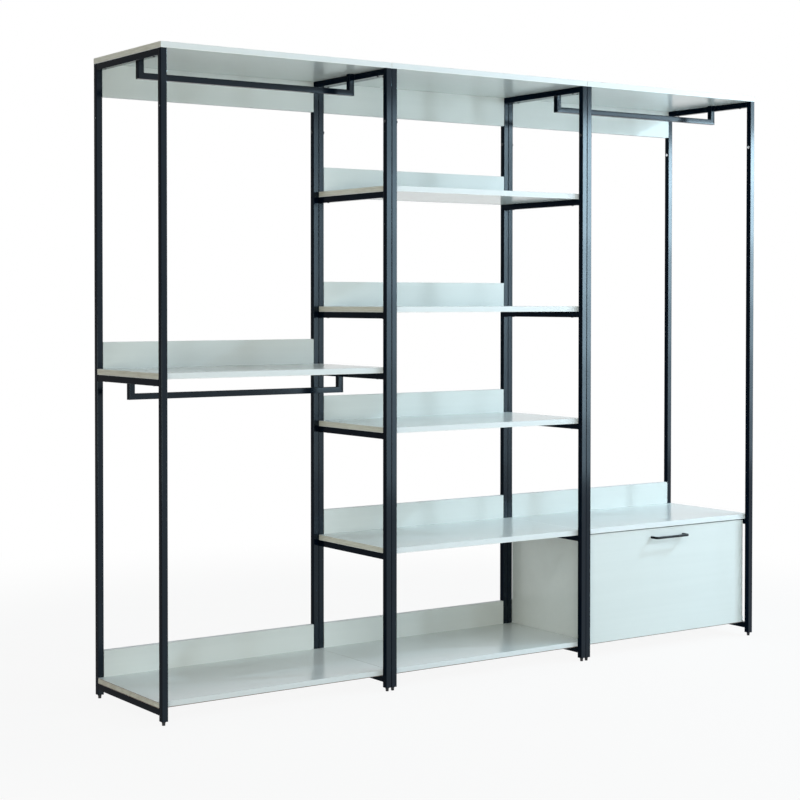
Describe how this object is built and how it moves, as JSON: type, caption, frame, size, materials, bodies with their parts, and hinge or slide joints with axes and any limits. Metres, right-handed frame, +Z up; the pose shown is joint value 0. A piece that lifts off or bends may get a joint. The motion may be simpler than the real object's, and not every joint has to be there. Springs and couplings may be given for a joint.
{
  "type": "freestanding closet system",
  "caption": "Freestanding closet with open bays in black steel tube: white shelves, hanging rods and a wide drawer on ball-bearing runners.",
  "frame": {"origin": "on the floor, at the centre of the outline seen from above, handle included", "axes": "+X to the viewer's right along the width, -Y towards the viewer out of the front, +Z up"},
  "size_m": [2.4384, 0.4454, 1.9736],
  "materials": {
    "white_board": "satin white laminate",
    "frame_paint": "blue-black powder coat, semi-gloss",
    "rod_paint": "blue-black powder coat, semi-gloss",
    "black_plastic": "moulded black plastic",
    "sleeve_zinc": "bright zinc",
    "black_screws": "blackened steel",
    "handle_paint": "black satin",
    "drawer_box_board": "white foil",
    "runner_steel": "zinc-plated",
    "ball_steel": "polished"
  },
  "bodies": {
    "closet": {"drawer_unit_left_panel": "white_board", "drawer_unit_right_panel": "white_board", "drawer_unit_top_board": "white_board", "drawer_unit_upstand": "white_board", "foot_glides": "black_plastic", "inner_joining_sleeves": "sleeve_zinc", "joining_bolts": "black_screws", "joining_nuts": "black_screws", "left_bay_bottom_board": "white_board", "left_bay_bottom_upstand": "white_board", "left_bay_half_shelf": "white_board", "left_bay_half_shelf_upstand": "white_board", "left_bay_left_frame": "frame_paint", "left_bay_lower_rod": "rod_paint", "left_bay_right_frame": "frame_paint", "left_bay_top_apron": "white_board", "left_bay_top_board": "white_board", "left_bay_upper_rod": "rod_paint", "left_runner_cabinet_member": "runner_steel", "middle_bay_bottom_board": "white_board", "middle_bay_bottom_upstand": "white_board", "middle_bay_left_frame": "frame_paint", "middle_bay_right_frame": "frame_paint", "middle_bay_shelf_1": "white_board", "middle_bay_shelf_1_upstand": "white_board", "middle_bay_shelf_2": "white_board", "middle_bay_shelf_2_upstand": "white_board", "middle_bay_shelf_3": "white_board", "middle_bay_shelf_3_upstand": "white_board", "middle_bay_shelf_4": "white_board", "middle_bay_shelf_4_upstand": "white_board", "middle_bay_top_apron": "white_board", "middle_bay_top_board": "white_board", "outer_joining_sleeves": "sleeve_zinc", "post_end_plugs": "black_plastic", "right_bay_bottom_board": "white_board", "right_bay_bottom_upstand": "white_board", "right_bay_left_frame": "frame_paint", "right_bay_right_frame": "frame_paint", "right_bay_rod": "rod_paint", "right_bay_top_apron": "white_board", "right_bay_top_board": "white_board", "right_runner_cabinet_member": "runner_steel"},
    "drawer": {"drawer_front": "white_board", "drawer_left_side": "drawer_box_board", "drawer_right_side": "drawer_box_board", "drawer_back": "drawer_box_board", "drawer_bottom": "drawer_box_board", "drawer_handle": "handle_paint", "left_runner_drawer_member": "runner_steel", "right_runner_drawer_member": "runner_steel"},
    "runner_middle_members": {"left_runner_middle_member": "runner_steel", "right_runner_middle_member": "runner_steel"},
    "outer_ball_cages": {"runner_outer_cages": "runner_steel", "runner_outer_balls": "ball_steel"},
    "inner_ball_cages": {"runner_inner_cages": "runner_steel", "runner_inner_balls": "ball_steel"}
  },
  "joints": [
    {"name": "drawer_slide", "type": "slide", "parent": "closet", "child": "drawer", "axis": [0, -1, 0], "range_m": [0, 0.34]},
    {"name": "middle_member_slide", "type": "slide", "parent": "closet", "child": "runner_middle_members", "axis": [0, -1, 0], "range_m": [0, 0.17]},
    {"name": "outer_cage_slide", "type": "slide", "parent": "closet", "child": "outer_ball_cages", "axis": [0, -1, 0], "range_m": [0, 0.085]},
    {"name": "inner_cage_slide", "type": "slide", "parent": "closet", "child": "inner_ball_cages", "axis": [0, -1, 0], "range_m": [0, 0.255]}
  ],
  "couplings": [
    {"joint": "middle_member_slide", "follows": "drawer_slide", "ratio": 0.5},
    {"joint": "outer_cage_slide", "follows": "drawer_slide", "ratio": 0.25},
    {"joint": "inner_cage_slide", "follows": "drawer_slide", "ratio": 0.75}
  ]
}
